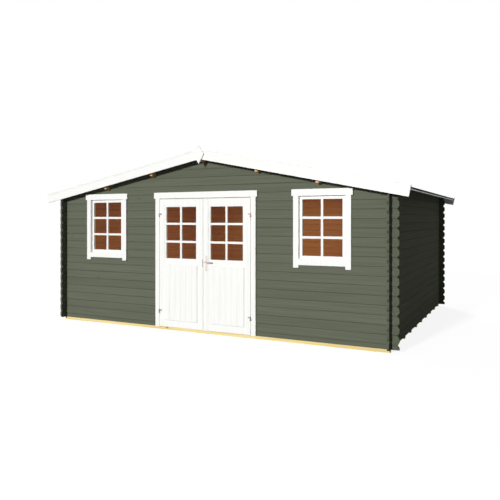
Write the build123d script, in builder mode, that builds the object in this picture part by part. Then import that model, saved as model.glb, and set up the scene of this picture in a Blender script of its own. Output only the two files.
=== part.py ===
from build123d import *

import os
from math import cos, radians, sin, tan

os.makedirs("parts", exist_ok=True)

# Frame: origin on the ground at the middle of the plan, +X to the right of the front, +Y to the back.

# Log walls
log_height = 114
log_thickness = 28
log_end = 98  # log ends stand this far out past the crossing wall
log_end_bevel_length = 26  # along the log
log_end_bevel_height = 30
groove_depth = 4
groove_half_height = 5
wall_width = 5130  # over the outer faces of the two side walls
wall_depth = 3890  # over the outer faces of the front and back walls

# Foundation and floor
beam_height = 40
beam_width = 60
beam_count = 10
beam_setback = 10  # from the side wall's outer face to the beam's end
floor_thickness = 18
floor_gap = 5

# Roof
roof_pitch = 11.3
ridge_rise = 2440  # underside of the roof boards at the ridge, above the foundation
roof_board = 19
roof_felt = 4
gable_overhang = 107  # roof boards past the front and back walls
eave_overhang = 226  # roof boards past the side walls' outer faces
eave_strip_thickness = 16
eave_strip_height = 30
felt_fold = 21  # height of the felt folded down over the eave
purlin_width = 45
purlin_depth = 125
purlin_spacing = 840
purlin_chamfer = 8
purlin_setback = 29  # purlins end this far behind the barge boards
purlins_per_slope = 2

# Barge boards and ridge plates
barge_height = 116
barge_thickness = 18
barge_end_lap = 2  # past the felt folded over the eave
cover_lath_height = 20
cover_lath_width = 50
cover_lath_proud = 4
mitre_gap = 1
ridge_plate_half_width = 78
ridge_plate_upper = 120
ridge_plate_lower = 132
ridge_plate_drop = 30  # widest line of the plate below the boards' underside at the ridge
ridge_plate_thickness = 12

# Painted trims round the door and the windows
trim_thickness = 22
trim_width = 71
head_board_rise = 5  # its lower edge above the door frame's head
head_board_height = 84
head_board_thickness = 26
head_board_end = 22  # past the side trims

# Frames set between the logs
logs_to_opening_top = 16  # whole logs between the first half log and the openings' top
frame_inner_proud = 18  # past the wall's inner face
frame_inner_cover = 36  # over the inner face of the logs, all round

# Doorway
door_half_width = 731  # clear half width between the jambs
door_jamb = 35
door_head_bottom = 1820
door_stop_width = 17
door_gap = 5
threshold_height = 30
floor_notch_gap = 2

# Door leaves
meeting_gap = 9
leaf_bottom = 8
leaf_thickness = 40
leaf_stile = 88
leaf_bottom_rail = 92
leaf_panel_top = 897  # above the foundation
leaf_lock_rail = 58
leaf_bead = 24
leaf_bead_setback = 4
panel_proud = 10
panel_thickness = 28
panel_bevel = 8
panel_boards = 6
panel_groove = 3
meeting_lath_width = 76
meeting_lath_thickness = 6

# Windows
window_centre = 1712
window_half_width = 306.5  # clear half width between the side trims
logs_to_window = 8  # whole logs between the first half log and the rough opening
window_trim_lap = 14  # bottom trim below the rough opening
window_trim_ear = 36  # side trims below the bottom trim
window_trim_bottom_height = 73
window_frame_hidden = 30.5  # frame behind the trims
window_frame_reveal = 15  # frame seen inside the trims
window_frame_setback = 12
sash_width = 28
sash_thickness = 34
sash_proud = 6

# Glazing
glass_thickness = 4
glass_setback = 7  # behind the face of the ring that holds it
glass_seat = 8
bar_width = 30
bar_depth = 9
bar_lap = 12  # bars past the panes, over the ring
pane_columns = 2
pane_rows = 3

# Hinges
hinge_axis_proud = 10
knuckle_radius = 7
knuckle_length = 28
hinge_play = 1
hinge_pin_radius = 3
hinge_pin_play = 0.3
hinge_strap_length = 38
hinge_strap_height = 22
hinge_plate_thickness = 3
hinge_web = 8
hinge_foot_width = 16
hinge_inset_low = 215  # from the leaf's bottom to the lower hinge's joint
hinge_inset_high = 227  # from the upper hinge's joint to the leaf's top
knuckle_sides = 16  # flats round each rolled knuckle

# Lock and lever
lock_backset = 48
lever_rise = 48  # above the lower panel
lock_plate_width = 30
lock_plate_height = 215
lock_plate_thickness = 4
lock_plate_corner = 7
lock_plate_drop = 15  # middle of the plate below the lever
lock_edge_width = 20
lock_edge_height = 110
lock_edge_thickness = 3
spindle_radius = 5
spindle_hole_radius = 8
lever_play = 1
lever_neck_length = 36
lever_neck_radius = 8
lever_length = 104
lever_height = 18
lever_thickness = 12
lever_corner = 5
lever_sides = 16  # flats round the necks and the plates' holes

# Derived levels and faces
base = beam_height
slope = radians(roof_pitch)
ridge_level = base + ridge_rise
half_log = log_height / 2
half_width = wall_width / 2
slope_run = (half_width + eave_overhang) / cos(slope)
strip_run = slope_run + eave_strip_thickness
barge_run = strip_run + roof_felt + barge_end_lap
opening_top = half_log + logs_to_opening_top * log_height
head_board_bottom = door_head_bottom + head_board_rise
half_depth = wall_depth / 2
side_inner = half_width - log_thickness
wall_length_x = wall_width + 2 * log_end
wall_length_y = wall_depth + 2 * log_end
roof_half_length = half_depth + gable_overhang
purlin_half_length = roof_half_length - purlin_setback
roof_top = roof_board + roof_felt
door_rough_half_width = door_half_width + door_jamb
frame_depth = log_thickness + frame_inner_proud
leaf_outer = door_half_width - door_gap
leaf_inner = meeting_gap / 2
leaf_top = door_head_bottom - door_gap
leaf_face = -trim_thickness  # depths count from the front wall's outer face, inwards
leaf_back = leaf_face + leaf_thickness
stop_face = leaf_back + door_gap
hinge_levels = (leaf_bottom + hinge_inset_low, door_head_bottom - door_gap - hinge_inset_high)
lever_level = leaf_panel_top + lever_rise
window_rough_half_width = window_half_width + window_frame_hidden
window_rough_bottom = half_log + logs_to_window * log_height
window_trim_bottom = window_rough_bottom - window_trim_lap
window_trim_foot = window_trim_bottom - window_trim_ear
window_bottom_trim_top = window_trim_bottom + window_trim_bottom_height


def under_roof(x):
    """Level of the roof boards' underside over a place across the building."""
    return ridge_level - abs(x) * tan(slope)


def roof_point(along, above):
    """Point of the right slope, along it from the ridge and above the boards' underside."""
    return (
        along * cos(slope) + above * sin(slope),
        ridge_level - along * sin(slope) + above * cos(slope),
    )


def roof_layer(lower, upper, run, start=0.0):
    """Corners of a layer of the right slope, upright at the ridge and cut square at the eave."""
    return [
        (start, under_roof(start) + lower / cos(slope)),
        roof_point(run, lower),
        roof_point(run, upper),
        (start, under_roof(start) + upper / cos(slope)),
    ]


def on_side(side, points):
    """Points of the right slope carried to the left (-1) or right (1) slope."""
    return [(side * x, level) for x, level in points]


def levels(first, limit):
    """Levels from first to below the limit, one log apart."""
    found = []
    level = first
    while level < limit:
        found.append(level)
        level += log_height
    return found


# The front and back walls start with half a log and the side walls with a whole one, so the logs of
# crossing walls lie half a log apart. Each notch is centred on a joint and half a log high.
corner_limit = under_roof(side_inner) + half_log
cross_joints = levels(base + half_log, ridge_level)
cross_notches = levels(base + half_log, corner_limit)
side_joints = levels(base + log_height, under_roof(half_width))
side_notches = levels(base, corner_limit)
purlin_places = [step * purlin_spacing for step in range(-purlins_per_slope, purlins_per_slope + 1)]


def log_section(outer, inner, joints, outer_top, inner_top):
    """Outline of stacked logs seen on their ends, with a V groove at each joint on both faces."""
    inward = groove_depth if inner > outer else -groove_depth
    rising = [(outer, base)]
    falling = [(inner, base)]
    for joint in joints:
        low = joint - groove_half_height
        high = joint + groove_half_height
        rising += [(outer, low), (outer + inward, joint), (outer, high)]
        falling += [(inner, low), (inner - inward, joint), (inner, high)]
    return rising + [(outer, outer_top), (inner, inner_top)] + falling[::-1]


def purlin_section(place):
    """Outline of a purlin: top bevelled to the roof, lower edges chamfered."""
    near = place - purlin_width / 2
    far = place + purlin_width / 2
    foot = under_roof(place) - purlin_depth
    crown = [(0, ridge_level)] if near < 0 < far else []
    return (
        [
            (near, foot + purlin_chamfer),
            (near + purlin_chamfer, foot),
            (far - purlin_chamfer, foot),
            (far, foot + purlin_chamfer),
            (far, under_roof(far)),
        ]
        + crown
        + [(near, under_roof(near))]
    )


def polygon(points, mode=Mode.ADD):
    """Closed outline drawn in the sketch being built."""
    Polygon(*points, mode=mode)


def block(left, right, low, high, mode=Mode.ADD):
    """Upright rectangle between two places and two levels, in the sketch being built."""
    with Locations(((left + right) / 2, (low + high) / 2)):
        Rectangle(right - left, high - low, mode=mode)


def log_outline(length):
    """Corners of one log seen from its face, with both its ends bevelled above and below."""
    far = length / 2
    near = far - log_end_bevel_length
    flat = half_log - log_end_bevel_height
    right_end = [(near, -half_log), (far, -flat), (far, flat), (near, half_log)]
    return right_end + [(-along, -level) for along, level in right_end]


def log_rows(length, joints):
    """Outlines of a wall's logs, one on the other, in the sketch being built."""
    centres = [joints[0] - half_log] + [joint + half_log for joint in joints]
    with Locations(*[(0, centre) for centre in centres]):
        Polygon(*log_outline(length))


def corner_notches(notches, outer_face):
    """Openings where the logs of the crossing walls pass through, in the sketch being built."""
    middle = outer_face - log_thickness / 2
    with Locations(*[(side * middle, level) for level in notches for side in (-1, 1)]):
        Rectangle(log_thickness, half_log, mode=Mode.SUBTRACT)


def cross_logs(facing):
    """Grooved logs over the whole width, on the front (-1) or back (1) face."""
    outer = facing * half_depth
    inner = outer - facing * log_thickness
    with BuildSketch(Plane.YZ) as section:
        polygon(log_section(outer, inner, cross_joints, ridge_level, ridge_level))
    extrude(section.sketch, amount=wall_length_x / 2, both=True)


def outer_plane(facing, out=0.0):
    """Upright plane standing out from the front (-1) or back (1) wall, seen from the front."""
    return Plane.XZ.offset(-facing * (half_depth + out))


def front_plane(depth):
    """Upright plane at a depth behind the front wall's outer face. Extruding goes outwards."""
    return Plane.XZ.offset(half_depth - depth)


def cross_wall_outline(left, right, low, high):
    """Logs of a front or back wall between two places and two levels, under the roof."""
    reach = wall_length_x / 2
    log_rows(wall_length_x, cross_joints)
    block(left, right, low, high, mode=Mode.INTERSECT)
    eave_point = (reach, under_roof(reach))
    roof_outline = [(-reach, 0), (reach, 0), eave_point, (0, ridge_level), (-reach, eave_point[1])]
    polygon(roof_outline, mode=Mode.INTERSECT)
    corner_notches(cross_notches, half_width)


def gable_outline():
    """Logs above the door and window heads, up to the roof and round the purlins."""
    reach = wall_length_x / 2
    cross_wall_outline(-reach, reach, base + opening_top, ridge_level)
    for place in purlin_places:
        polygon(purlin_section(place), mode=Mode.SUBTRACT)


def glazed_ring(centre, level, width, height, surround, face, back):
    """Rebated ring round a sheet of glass, with bars on both faces, in the part being built."""
    glass_front = face + glass_setback
    pane_width = (width - (pane_columns - 1) * bar_width) / pane_columns
    pane_height = (height - (pane_rows - 1) * bar_width) / pane_rows
    with BuildSketch(front_plane(back)) as ring:
        with Locations((centre, level)):
            Rectangle(width + 2 * surround, height + 2 * surround)
            Rectangle(width, height, mode=Mode.SUBTRACT)
    extrude(ring.sketch, amount=back - face)
    with BuildSketch(front_plane(glass_front + glass_thickness + bar_depth)) as bars:
        with Locations((centre, level)):
            with GridLocations(pane_width + bar_width, 0, pane_columns - 1, 1):
                Rectangle(bar_width, height + 2 * bar_lap)
            with GridLocations(0, pane_height + bar_width, 1, pane_rows - 1):
                Rectangle(width + 2 * bar_lap, bar_width)
    extrude(bars.sketch, amount=glass_thickness + 2 * bar_depth)
    glass_sheet(centre, level, width, height, glass_front, Mode.SUBTRACT)


def glass_sheet(centre, level, width, height, glass_front, mode=Mode.ADD):
    """Sheet of glass that sits in the ring's rebate, in the part being built."""
    with BuildSketch(front_plane(glass_front + glass_thickness)) as sheet:
        with Locations((centre, level)):
            Rectangle(width + 2 * glass_seat, height + 2 * glass_seat)
    extrude(sheet.sketch, amount=glass_thickness, mode=mode)


def export(name, builder):
    """Label a finished piece and write its file."""
    builder.part.label = name
    export_step(builder.part, f"parts/{name}.step")


# Foundation beams and floor
with BuildPart() as foundation_beams:
    with BuildSketch(Plane.XY):
        with GridLocations(0, (wall_depth - beam_width) / (beam_count - 1), 1, beam_count):
            Rectangle(wall_width - 2 * beam_setback, beam_width)
    extrude(amount=beam_height)
export("foundation_beams", foundation_beams)

with BuildPart() as floor_boards:
    with BuildSketch(Plane.XY.offset(base)):
        Rectangle(
            wall_width - 2 * (log_thickness + floor_gap),
            wall_depth - 2 * (log_thickness + floor_gap),
        )
        with Locations((0, -half_depth)):
            Rectangle(
                2 * (door_rough_half_width + frame_inner_cover + floor_notch_gap),
                2 * (frame_depth + floor_notch_gap),
                mode=Mode.SUBTRACT,
            )
    extrude(amount=floor_thickness)
export("floor_boards", floor_boards)

# Front wall: short logs beside the doorway, with a window opening each side
for side, name in ((-1, "front_wall_left"), (1, "front_wall_right")):
    with BuildPart() as front_wall:
        cross_logs(-1)
        with BuildSketch(outer_plane(-1)):
            near = side * door_rough_half_width
            far = side * wall_length_x / 2
            cross_wall_outline(min(near, far), max(near, far), base, base + opening_top)
            block(
                side * window_centre - window_rough_half_width,
                side * window_centre + window_rough_half_width,
                base + window_rough_bottom,
                base + opening_top,
                mode=Mode.SUBTRACT,
            )
        extrude(amount=-log_thickness, mode=Mode.INTERSECT)
    export(name, front_wall)

with BuildPart() as front_gable:
    cross_logs(-1)
    with BuildSketch(outer_plane(-1)):
        gable_outline()
    extrude(amount=-log_thickness, mode=Mode.INTERSECT)
export("front_gable", front_gable)

# Back wall: whole logs from corner to corner, then the gable
with BuildPart() as back_wall:
    cross_logs(1)
    with BuildSketch(outer_plane(1)):
        cross_wall_outline(-wall_length_x / 2, wall_length_x / 2, base, base + opening_top)
    extrude(amount=log_thickness, mode=Mode.INTERSECT)
export("back_wall", back_wall)

with BuildPart() as back_gable:
    cross_logs(1)
    with BuildSketch(outer_plane(1)):
        gable_outline()
    extrude(amount=log_thickness, mode=Mode.INTERSECT)
export("back_gable", back_gable)

# Side walls: whole logs, the top one bevelled to the roof
for side, name in ((-1, "left_wall"), (1, "right_wall")):
    with BuildPart() as side_wall:
        with BuildSketch(Plane.XZ):
            polygon(
                log_section(
                    side * half_width,
                    side * side_inner,
                    side_joints,
                    under_roof(half_width),
                    under_roof(side_inner),
                )
            )
        extrude(amount=wall_length_y / 2, both=True)
        with BuildSketch(Plane.YZ.offset(side * half_width)):
            log_rows(wall_length_y, side_joints)
            corner_notches(side_notches, half_depth)
        extrude(amount=-side * log_thickness, mode=Mode.INTERSECT)
    export(name, side_wall)

# Purlins, seated in the gables
with BuildPart() as ridge_purlin:
    with BuildSketch(Plane.XZ):
        polygon(purlin_section(0))
    extrude(amount=purlin_half_length, both=True)
export("ridge_purlin", ridge_purlin)

with BuildPart() as side_purlins:
    with BuildSketch(Plane.XZ):
        for place in purlin_places:
            if place != 0:
                polygon(purlin_section(place))
    extrude(amount=purlin_half_length, both=True)
export("side_purlins", side_purlins)

# Roof slopes
for side, name in ((-1, "left"), (1, "right")):
    with BuildPart() as roof_boards:
        with BuildSketch(Plane.XZ):
            polygon(on_side(side, roof_layer(0, roof_board, slope_run)))
        extrude(amount=roof_half_length, both=True)
    export(f"roof_boards_{name}", roof_boards)

    with BuildPart() as eave_strip:
        with BuildSketch(Plane.XZ):
            strip_foot = roof_board - eave_strip_height
            strip_corners = [
                roof_point(slope_run, strip_foot),
                roof_point(strip_run, strip_foot),
                roof_point(strip_run, roof_board),
                roof_point(slope_run, roof_board),
            ]
            polygon(on_side(side, strip_corners))
        extrude(amount=roof_half_length, both=True)
    export(f"eave_strip_{name}", eave_strip)

    with BuildPart() as felt:
        with BuildSketch(Plane.XZ):
            ridge_lower, eave_lower, _, ridge_upper = roof_layer(roof_board, roof_top, strip_run)
            felt_corners = [
                ridge_lower,
                eave_lower,
                roof_point(strip_run, roof_top - felt_fold),
                roof_point(strip_run + roof_felt, roof_top - felt_fold),
                roof_point(strip_run + roof_felt, roof_top),
                ridge_upper,
            ]
            polygon(on_side(side, felt_corners))
        extrude(amount=roof_half_length, both=True)
    export(f"roof_felt_{name}", felt)

# Barge boards, cover laths and ridge plates of both gables
lath_back = gable_overhang + barge_thickness - (cover_lath_width - cover_lath_proud)
lath_front = lath_back + cover_lath_width
for facing, name in ((-1, "front"), (1, "back")):
    with BuildPart() as barge_boards:
        with BuildSketch(outer_plane(facing, gable_overhang)):
            for side in (-1, 1):
                corners = roof_layer(roof_top - barge_height, roof_top, barge_run, mitre_gap / 2)
                polygon(on_side(side, corners))
        extrude(amount=-facing * barge_thickness)
    export(f"barge_boards_{name}", barge_boards)

    with BuildPart() as cover_laths:
        with BuildSketch(outer_plane(facing, lath_back)):
            for side in (-1, 1):
                corners = roof_layer(roof_top, roof_top + cover_lath_height, barge_run, mitre_gap / 2)
                polygon(on_side(side, corners))
        extrude(amount=-facing * cover_lath_width)
    export(f"cover_laths_{name}", cover_laths)

    with BuildPart() as ridge_plate:
        with BuildSketch(outer_plane(facing, lath_front)):
            widest = ridge_level - ridge_plate_drop
            polygon(
                [
                    (0, widest - ridge_plate_lower),
                    (ridge_plate_half_width, widest),
                    (0, widest + ridge_plate_upper),
                    (-ridge_plate_half_width, widest),
                ]
            )
        extrude(amount=-facing * ridge_plate_thickness)
    export(f"ridge_plate_{name}", ridge_plate)

# Door frame: jambs and head round the ends of the logs, with a stop behind the leaves
with BuildPart() as door_frame:
    rough_top = base + opening_top
    head_level = base + door_head_bottom
    with BuildSketch(front_plane(frame_depth)):
        block(-door_rough_half_width, door_rough_half_width, base, rough_top)
        block(-door_half_width, door_half_width, base, head_level, mode=Mode.SUBTRACT)
    extrude(amount=frame_depth)
    with BuildSketch(front_plane(frame_depth)):
        block(-door_half_width, door_half_width, base, head_level)
        stop_inner = door_half_width - door_stop_width
        block(-stop_inner, stop_inner, base, head_level - door_stop_width, mode=Mode.SUBTRACT)
    extrude(amount=frame_depth - stop_face)
    with BuildSketch(front_plane(frame_depth)):
        cover_outer = door_rough_half_width + frame_inner_cover
        block(-cover_outer, cover_outer, base, rough_top + frame_inner_cover)
        block(-door_rough_half_width, door_rough_half_width, base, rough_top, mode=Mode.SUBTRACT)
    extrude(amount=frame_inner_proud)
export("door_frame", door_frame)

with BuildPart() as threshold:
    with BuildSketch(front_plane(frame_depth)):
        block(-stop_inner, stop_inner, base, base + threshold_height)
    extrude(amount=frame_depth - stop_face)
export("threshold", threshold)


def head_board(centre, trim_half_width):
    """Board across the tops of two side trims, in the part being built."""
    reach = trim_half_width + head_board_end
    bottom = base + head_board_bottom
    with BuildSketch(front_plane(0)) as board:
        block(centre - reach, centre + reach, bottom, bottom + head_board_height)
    extrude(board.sketch, amount=head_board_thickness)


with BuildPart() as door_trim:
    with BuildSketch(front_plane(0)):
        trim_outer = door_half_width + trim_width
        for side in (-1, 1):
            near = side * door_half_width
            far = side * trim_outer
            block(min(near, far), max(near, far), base, base + head_board_bottom)
    extrude(amount=trim_thickness)
    head_board(0, trim_outer)
export("door_trim", door_trim)

# Door leaves: glazed above, boarded below
leaf_width = leaf_outer - leaf_inner
opening_width = leaf_width - 2 * leaf_stile
panel_bottom = base + leaf_bottom + leaf_bottom_rail
panel_top = base + leaf_panel_top
glazing_bottom = panel_top + leaf_lock_rail
glazing_top = base + leaf_top - leaf_stile
leaf_glass_width = opening_width - 2 * leaf_bead
leaf_glass_height = glazing_top - glazing_bottom - 2 * leaf_bead
leaf_glass_level = (glazing_top + glazing_bottom) / 2
bead_face = leaf_face + leaf_bead_setback
bead_back = leaf_back - leaf_bead_setback
lock_place = leaf_inner + lock_backset
lath_face = leaf_face - meeting_lath_thickness
lever_axis = base + lever_level
lock_edge_level = lever_axis - lock_plate_drop


for side, name in ((-1, "left"), (1, "right")):
    middle = side * (leaf_inner + leaf_outer) / 2
    with BuildPart() as leaf_frame:
        with BuildSketch(front_plane(leaf_back)):
            half_leaf = leaf_width / 2
            block(middle - half_leaf, middle + half_leaf, base + leaf_bottom, base + leaf_top)
            for low, high in ((panel_bottom, panel_top), (glazing_bottom, glazing_top)):
                half_opening = opening_width / 2
                block(middle - half_opening, middle + half_opening, low, high, mode=Mode.SUBTRACT)
        extrude(amount=leaf_thickness)
        glazed_ring(
            middle,
            leaf_glass_level,
            leaf_glass_width,
            leaf_glass_height,
            leaf_bead,
            bead_face,
            bead_back,
        )
        if side > 0:
            with BuildSketch(front_plane(leaf_face)):
                lath_end = leaf_inner + meeting_lath_width
                block(leaf_inner, lath_end, base + leaf_bottom, base + leaf_top)
            extrude(amount=meeting_lath_thickness)
            with BuildSketch(front_plane(leaf_back)):
                with Locations((lock_place, lever_axis)):
                    RegularPolygon(spindle_hole_radius, lever_sides)
            extrude(amount=leaf_back - lath_face, mode=Mode.SUBTRACT)
            with BuildSketch(Plane.YZ.offset(leaf_inner)):
                with Locations((-half_depth + (leaf_face + leaf_back) / 2, lock_edge_level)):
                    Rectangle(lock_edge_width, lock_edge_height)
            extrude(amount=lock_edge_thickness, mode=Mode.SUBTRACT)
    export(f"{name}_door_frame", leaf_frame)

    with BuildPart() as leaf_panel:
        panel_face = leaf_face - panel_proud
        panel_back = panel_face + panel_thickness
        with BuildSketch(front_plane(panel_back)):
            block(middle - half_opening, middle + half_opening, panel_bottom, panel_top)
        extrude(amount=panel_thickness)
        outer_edges = leaf_panel.faces().sort_by(Axis.Y)[0].edges()
        chamfer(outer_edges, panel_bevel)
        with BuildSketch(Plane.XY.offset(panel_bottom + panel_bevel)):
            with Locations((middle, -half_depth + panel_face)):
                with GridLocations(opening_width / panel_boards, 0, panel_boards - 1, 1):
                    Rectangle(2 * panel_groove, 2 * panel_groove, rotation=45)
        extrude(amount=panel_top - panel_bottom - 2 * panel_bevel, mode=Mode.SUBTRACT)
    export(f"{name}_door_panel", leaf_panel)

    with BuildPart() as leaf_glass:
        glass_front = bead_face + glass_setback
        glass_sheet(middle, leaf_glass_level, leaf_glass_width, leaf_glass_height, glass_front)
    export(f"{name}_door_glass", leaf_glass)

# Hinges: the upper knuckle turns with the leaf on a pin that stands in the lower one
hinge_axis = door_half_width - door_gap / 2
hinge_depth = leaf_face - hinge_axis_proud


def knuckle(side, low):
    """Rolled knuckle on a leaf's hinge axis, in the part being built."""
    with BuildSketch(Plane.XY.offset(low)) as section:
        with Locations((side * hinge_axis, -half_depth + hinge_depth)):
            RegularPolygon(knuckle_radius, knuckle_sides)
    extrude(section.sketch, amount=knuckle_length)


def hinge_pin(side, low, length):
    """Round pin on a leaf's hinge axis, in the part being built."""
    with BuildSketch(Plane.XY.offset(low)) as section:
        with Locations((side * hinge_axis, -half_depth + hinge_depth)):
            Circle(hinge_pin_radius)
    extrude(section.sketch, amount=length)


def knuckle_bore(side, low):
    """Bore that clears the pin all round, in the part being built."""
    with BuildSketch(Plane.XY.offset(low)) as section:
        with Locations((side * hinge_axis, -half_depth + hinge_depth)):
            RegularPolygon(hinge_pin_radius + hinge_pin_play, knuckle_sides, major_radius=False)
    extrude(section.sketch, amount=knuckle_length, mode=Mode.SUBTRACT)


def hinge_plate(side, towards, reach, knuckle_middle):
    """Plate on the wood and the web that joins it to its knuckle, in the part being built."""
    low = knuckle_middle - hinge_strap_height / 2
    high = knuckle_middle + hinge_strap_height / 2
    for width, thickness in ((reach, hinge_plate_thickness), (hinge_web, hinge_axis_proud)):
        axis = side * hinge_axis
        end = axis + side * towards * width
        with BuildSketch(front_plane(leaf_face)) as plate:
            block(min(axis, end), max(axis, end), low, high)
        extrude(plate.sketch, amount=thickness)


with BuildPart() as hinge_pins:
    for side in (-1, 1):
        for level in hinge_levels:
            joint = base + level
            low = joint - hinge_play - knuckle_length
            hinge_plate(side, 1, hinge_foot_width, low + knuckle_length / 2)
            knuckle(side, low)
            hinge_pin(side, joint - hinge_play, knuckle_length + hinge_play)
export("hinge_pins", hinge_pins)

for side, name in ((-1, "left"), (1, "right")):
    with BuildPart() as leaf_hinges:
        for level in hinge_levels:
            joint = base + level
            hinge_plate(side, -1, hinge_strap_length, joint + knuckle_length / 2)
            knuckle(side, joint)
            knuckle_bore(side, joint)
    export(f"{name}_door_hinges", leaf_hinges)

# Lock plates on the right leaf, and the lever that turns in them
plate_face = lath_face - lock_plate_thickness
plate_inner = leaf_back + lock_plate_thickness
with BuildPart() as lock_plates:
    for plane_depth in (lath_face, plate_inner):
        with BuildSketch(front_plane(plane_depth)) as plate_outline:
            with Locations((lock_place, lock_edge_level)):
                Rectangle(lock_plate_width, lock_plate_height)
            chamfer(plate_outline.vertices(), lock_plate_corner)
            with Locations((lock_place, lever_axis)):
                RegularPolygon(spindle_hole_radius, lever_sides, mode=Mode.SUBTRACT)
        extrude(amount=lock_plate_thickness)
    with BuildSketch(Plane.YZ.offset(leaf_inner)):
        with Locations((-half_depth + (leaf_face + leaf_back) / 2, lock_edge_level)):
            Rectangle(lock_edge_width, lock_edge_height)
    extrude(amount=lock_edge_thickness)
export("lock_plates", lock_plates)

with BuildPart() as lever_handle:
    outer_end = plate_face - lever_play - lever_neck_length
    inner_end = plate_inner + lever_play + lever_neck_length
    with BuildSketch(front_plane(inner_end)):
        with Locations((lock_place, lever_axis)):
            Circle(spindle_radius)
    extrude(amount=inner_end - outer_end)
    for neck_back in (plate_face - lever_play, inner_end):
        with BuildSketch(front_plane(neck_back)):
            with Locations((lock_place, lever_axis)):
                RegularPolygon(lever_neck_radius, lever_sides)
        extrude(amount=lever_neck_length)
    for bar_back in (outer_end + lever_thickness, inner_end):
        with BuildSketch(front_plane(bar_back)) as lever_bar:
            with Locations((lock_place + (lever_length - lever_height) / 2, lever_axis)):
                Rectangle(lever_length, lever_height)
            chamfer(lever_bar.vertices(), lever_corner)
        extrude(amount=lever_thickness)
export("lever_handle", lever_handle)

# Windows: fixed sashes behind painted trims
window_glass_half_width = window_half_width - window_frame_reveal - sash_width
trim_clear_level = base + (window_bottom_trim_top + head_board_bottom) / 2
trim_clear_height = head_board_bottom - window_bottom_trim_top
window_glass_width = 2 * window_glass_half_width
window_glass_height = trim_clear_height - 2 * (window_frame_reveal + sash_width)
sash_face = window_frame_setback - sash_proud
sash_back = sash_face + sash_thickness
for side, name in ((-1, "left"), (1, "right")):
    centre = side * window_centre
    rough_bottom = base + window_rough_bottom
    with BuildPart() as window_trim:
        with BuildSketch(front_plane(0)):
            outer = window_half_width + trim_width
            block(centre - outer, centre + outer, base + window_trim_foot, base + head_board_bottom)
            block(
                centre - window_half_width,
                centre + window_half_width,
                base + window_bottom_trim_top,
                base + head_board_bottom,
                mode=Mode.SUBTRACT,
            )
            block(
                centre - window_half_width,
                centre + window_half_width,
                base + window_trim_foot,
                base + window_trim_bottom,
                mode=Mode.SUBTRACT,
            )
        extrude(amount=trim_thickness)
        head_board(centre, outer)
    export(f"window_trim_{name}", window_trim)

    with BuildPart() as window_frame:
        sash_half_width = window_glass_half_width + sash_width
        sash_height = window_glass_height + 2 * sash_width
        with BuildSketch(front_plane(frame_depth)):
            block(
                centre - window_rough_half_width,
                centre + window_rough_half_width,
                rough_bottom,
                base + opening_top,
            )
        extrude(amount=frame_depth)
        with BuildSketch(front_plane(frame_depth)):
            block(
                centre - window_rough_half_width - frame_inner_cover,
                centre + window_rough_half_width + frame_inner_cover,
                rough_bottom - frame_inner_cover,
                base + opening_top + frame_inner_cover,
            )
        extrude(amount=frame_inner_proud)
        with BuildSketch(front_plane(frame_depth)):
            with Locations((centre, trim_clear_level)):
                Rectangle(2 * sash_half_width, sash_height)
        extrude(amount=frame_depth, mode=Mode.SUBTRACT)
        with BuildSketch(front_plane(window_frame_setback)):
            with Locations((centre, trim_clear_level)):
                Rectangle(2 * window_half_width, trim_clear_height)
        extrude(amount=window_frame_setback, mode=Mode.SUBTRACT)
    export(f"window_frame_{name}", window_frame)

    with BuildPart() as window_sash:
        glazed_ring(
            centre,
            trim_clear_level,
            window_glass_width,
            window_glass_height,
            sash_width,
            sash_face,
            sash_back,
        )
    export(f"window_sash_{name}", window_sash)

    with BuildPart() as window_glass:
        glass_front = sash_face + glass_setback
        glass_sheet(centre, trim_clear_level, window_glass_width, window_glass_height, glass_front)
    export(f"window_glass_{name}", window_glass)
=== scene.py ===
"""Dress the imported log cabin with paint, bare wood, felt, glass and fittings, in a pale studio."""

import logging
import math
from collections.abc import Callable, Iterable, Sequence
from dataclasses import dataclass, field
from enum import Enum

import bpy
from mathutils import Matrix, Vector


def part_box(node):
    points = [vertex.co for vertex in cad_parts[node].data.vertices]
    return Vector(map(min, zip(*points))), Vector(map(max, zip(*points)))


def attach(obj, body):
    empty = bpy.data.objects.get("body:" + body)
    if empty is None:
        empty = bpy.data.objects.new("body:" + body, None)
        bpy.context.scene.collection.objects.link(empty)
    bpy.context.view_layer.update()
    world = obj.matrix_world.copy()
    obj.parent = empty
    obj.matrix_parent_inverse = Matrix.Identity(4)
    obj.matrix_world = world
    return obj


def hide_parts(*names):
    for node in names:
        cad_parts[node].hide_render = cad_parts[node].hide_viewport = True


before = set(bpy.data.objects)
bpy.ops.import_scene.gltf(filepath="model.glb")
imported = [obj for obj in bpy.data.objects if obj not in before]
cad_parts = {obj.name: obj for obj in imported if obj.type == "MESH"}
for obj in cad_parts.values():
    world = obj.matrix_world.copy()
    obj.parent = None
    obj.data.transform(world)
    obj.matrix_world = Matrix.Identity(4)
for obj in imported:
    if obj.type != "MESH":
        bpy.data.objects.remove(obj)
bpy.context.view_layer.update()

log = logging.getLogger("cabin")
MM = 0.001
HALF_DEPTH = 1945 * MM  # from the middle of the plan to the front wall's outer face
HALF_WIDTH = 2565 * MM  # and to a side wall's outer face
WALL_BASE = 40 * MM  # top of the foundation beams
LOG_PITCH = 114 * MM
LOG_THICKNESS = 28 * MM
ROOF_SLOPE = math.radians(11.3)
NEAR = 1 * MM  # how near a point has to lie to an edge or a face to be on it
SQUARE = 0.9  # least part of a face's normal that lies along an axis, for it to look that way
SHARE, FIRST, SECOND = 0, 6, 7  # the inputs of a Mix node that blends colours

Colour = tuple[float, float, float, float]
Tree = bpy.types.NodeTree
Node = bpy.types.Node
Socket = bpy.types.NodeSocket
Feed = float | Sequence[float] | Socket | Node  # what a node's input can be given
Piece = bpy.types.Object


class Along(Enum):
    """The axis along which a piece's grain runs."""

    X = 0
    Y = 1
    Z = 2


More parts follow.
